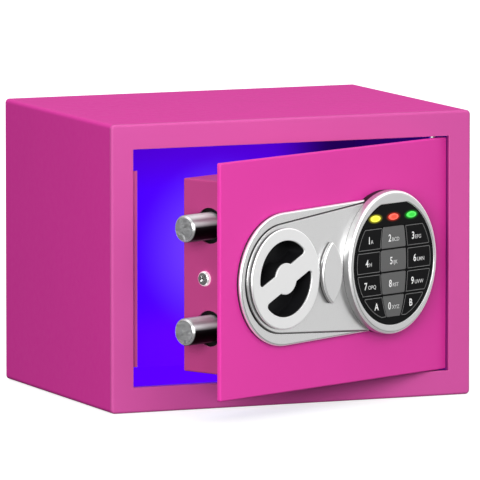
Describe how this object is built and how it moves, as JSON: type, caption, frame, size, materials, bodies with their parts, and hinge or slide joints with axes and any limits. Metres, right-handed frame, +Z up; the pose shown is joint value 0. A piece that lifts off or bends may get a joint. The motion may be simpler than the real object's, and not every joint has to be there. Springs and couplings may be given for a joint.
{
  "type": "electronic mini safe",
  "caption": "Small steel safe for coins and valuables, with a hinged door, keypad lock, turn knob and sliding bolts.",
  "frame": {"origin": "centre of the body's flat underside, on the surface it stands on", "axes": "+X to the right seen from the front, +Y to the back, +Z up; the door opens towards -Y"},
  "size_m": [0.23, 0.2503, 0.17],
  "materials": {
    "powder_coat": "fine-textured powder coat, magenta outside and on the door, violet on the inside walls",
    "felt": "violet needled felt",
    "silver_moulding": "satin silver lacquer",
    "satin_chrome": "satin chrome plate",
    "bright_chrome": "polished chrome plate",
    "zinc_steel": "bright zinc plate",
    "solenoid_steel": "zinc frame and wound coil",
    "black_moulding": "fine-grained black ABS",
    "black_gloss": "gloss black",
    "key_black": "black key with a fine grey border and a white legend",
    "key_grey": "mid-grey key with a white legend",
    "lens_yellow": "lit yellow lens",
    "lens_red": "lit red lens",
    "lens_green": "lit green lens",
    "brass": "turned brass",
    "circuit_board": "green solder mask",
    "silicone": "grey silicone rubber",
    "white_nylon": "natural nylon",
    "battery_jacket": "printed battery jacket",
    "red_button": "red push button"
  },
  "bodies": {
    "root": {"body_wrap": "powder_coat", "front_frame": "powder_coat", "back_panel": "powder_coat", "keeper_strip": "powder_coat", "hinge_pins": "zinc_steel", "floor_mat": "felt"},
    "door": {"door_plate": "powder_coat", "hinge_brackets": "powder_coat", "lock_casing": "powder_coat", "casing_screws": "bright_chrome", "casing_tab": "zinc_steel", "bolt_chassis": "zinc_steel", "panel_housing": "silver_moulding", "panel_nuts": "zinc_steel", "keypad_base": "black_moulding", "keypad_bezel": "silver_moulding", "keypad_face": "black_gloss", "keypad_board": "circuit_board", "key_mat": "silicone", "led_yellow": "lens_yellow", "led_red": "lens_red", "led_green": "lens_green", "emergency_barrel": "brass", "barrel_nut": "zinc_steel", "control_board": "circuit_board", "board_spacers": "white_nylon", "board_lead": "silicone", "buzzer": "black_moulding", "battery_holder": "black_moulding", "batteries": "battery_jacket", "reset_switch": "black_moulding", "solenoid": "solenoid_steel", "plunger_spring": "zinc_steel"},
    "knob": {"knob_face": "satin_chrome", "knob_cup": "black_moulding", "knob_shaft": "zinc_steel", "knob_cam": "zinc_steel"},
    "bolts": {"bolt_carriage": "zinc_steel", "bolt_upper": "bright_chrome", "bolt_lower": "bright_chrome", "bolt_screws": "zinc_steel"},
    "plunger": {"solenoid_plunger": "zinc_steel"},
    "emergency_core": {"emergency_plug": "brass", "emergency_cam": "zinc_steel"},
    "key_cap_cover": {"key_cover": "silver_moulding"},
    "battery_lid": {"battery_cover": "black_moulding"},
    "reset": {"reset_button": "red_button"},
    "key_1_cap": {"key_1": "key_black"},
    "key_2_cap": {"key_2": "key_grey"},
    "key_3_cap": {"key_3": "key_black"},
    "key_4_cap": {"key_4": "key_black"},
    "key_5_cap": {"key_5": "key_grey"},
    "key_6_cap": {"key_6": "key_black"},
    "key_7_cap": {"key_7": "key_black"},
    "key_8_cap": {"key_8": "key_grey"},
    "key_9_cap": {"key_9": "key_black"},
    "key_a_cap": {"key_a": "key_black"},
    "key_0_cap": {"key_0": "key_grey"},
    "key_b_cap": {"key_b": "key_black"}
  },
  "joints": [
    {"name": "door_hinge", "type": "hinge", "parent": "root", "child": "door", "pos_m": [0.0921, -0.08, 0.085], "axis": [0, 0, 1], "range_deg": [-25, 70]},
    {"name": "knob_turn", "type": "hinge", "parent": "door", "child": "knob", "pos_m": [-0.03439, -0.1445, 0.0832], "axis": [-0.4226, 0.9063, 0], "range_deg": [0, 90]},
    {"name": "bolt_slide", "type": "slide", "parent": "door", "child": "bolts", "axis": [0.9063, 0.4226, 0], "range_m": [0, 0.016]},
    {"name": "plunger_lift", "type": "slide", "parent": "door", "child": "plunger", "axis": [0, 0, 1], "range_m": [0, 0.006], "deforming": ["plunger_spring"]},
    {"name": "emergency_turn", "type": "hinge", "parent": "door", "child": "emergency_core", "pos_m": [0.00123, -0.12789, 0.0832], "axis": [-0.4226, 0.9063, 0], "range_deg": [0, 90]},
    {"name": "key_cover_pull", "type": "slide", "parent": "door", "child": "key_cap_cover", "axis": [0.4226, -0.9063, 0], "range_m": [0, 0.012]},
    {"name": "battery_cover_slide", "type": "slide", "parent": "door", "child": "battery_lid", "axis": [0.9063, 0.4226, 0], "range_m": [0, 0.01]},
    {"name": "reset_press", "type": "slide", "parent": "door", "child": "reset", "axis": [0.4226, -0.9063, 0], "range_m": [0, 0.0015], "stiffness_N_per_m": 400},
    {"name": "key_1_press", "type": "slide", "parent": "door", "child": "key_1_cap", "axis": [-0.4226, 0.9063, 0], "range_m": [0, 0.001], "stiffness_N_per_m": 400},
    {"name": "key_2_press", "type": "slide", "parent": "door", "child": "key_2_cap", "axis": [-0.4226, 0.9063, 0], "range_m": [0, 0.001], "stiffness_N_per_m": 400},
    {"name": "key_3_press", "type": "slide", "parent": "door", "child": "key_3_cap", "axis": [-0.4226, 0.9063, 0], "range_m": [0, 0.001], "stiffness_N_per_m": 400},
    {"name": "key_4_press", "type": "slide", "parent": "door", "child": "key_4_cap", "axis": [-0.4226, 0.9063, 0], "range_m": [0, 0.001], "stiffness_N_per_m": 400},
    {"name": "key_5_press", "type": "slide", "parent": "door", "child": "key_5_cap", "axis": [-0.4226, 0.9063, 0], "range_m": [0, 0.001], "stiffness_N_per_m": 400},
    {"name": "key_6_press", "type": "slide", "parent": "door", "child": "key_6_cap", "axis": [-0.4226, 0.9063, 0], "range_m": [0, 0.001], "stiffness_N_per_m": 400},
    {"name": "key_7_press", "type": "slide", "parent": "door", "child": "key_7_cap", "axis": [-0.4226, 0.9063, 0], "range_m": [0, 0.001], "stiffness_N_per_m": 400},
    {"name": "key_8_press", "type": "slide", "parent": "door", "child": "key_8_cap", "axis": [-0.4226, 0.9063, 0], "range_m": [0, 0.001], "stiffness_N_per_m": 400},
    {"name": "key_9_press", "type": "slide", "parent": "door", "child": "key_9_cap", "axis": [-0.4226, 0.9063, 0], "range_m": [0, 0.001], "stiffness_N_per_m": 400},
    {"name": "key_a_press", "type": "slide", "parent": "door", "child": "key_a_cap", "axis": [-0.4226, 0.9063, 0], "range_m": [0, 0.001], "stiffness_N_per_m": 400},
    {"name": "key_0_press", "type": "slide", "parent": "door", "child": "key_0_cap", "axis": [-0.4226, 0.9063, 0], "range_m": [0, 0.001], "stiffness_N_per_m": 400},
    {"name": "key_b_press", "type": "slide", "parent": "door", "child": "key_b_cap", "axis": [-0.4226, 0.9063, 0], "range_m": [0, 0.001], "stiffness_N_per_m": 400}
  ],
  "couplings": [
    {"joint": "knob_turn", "follows": "bolt_slide", "rad_per_m": 98.175},
    {"joint": "plunger_lift", "follows": "bolt_slide", "ratio": 0.375}
  ]
}
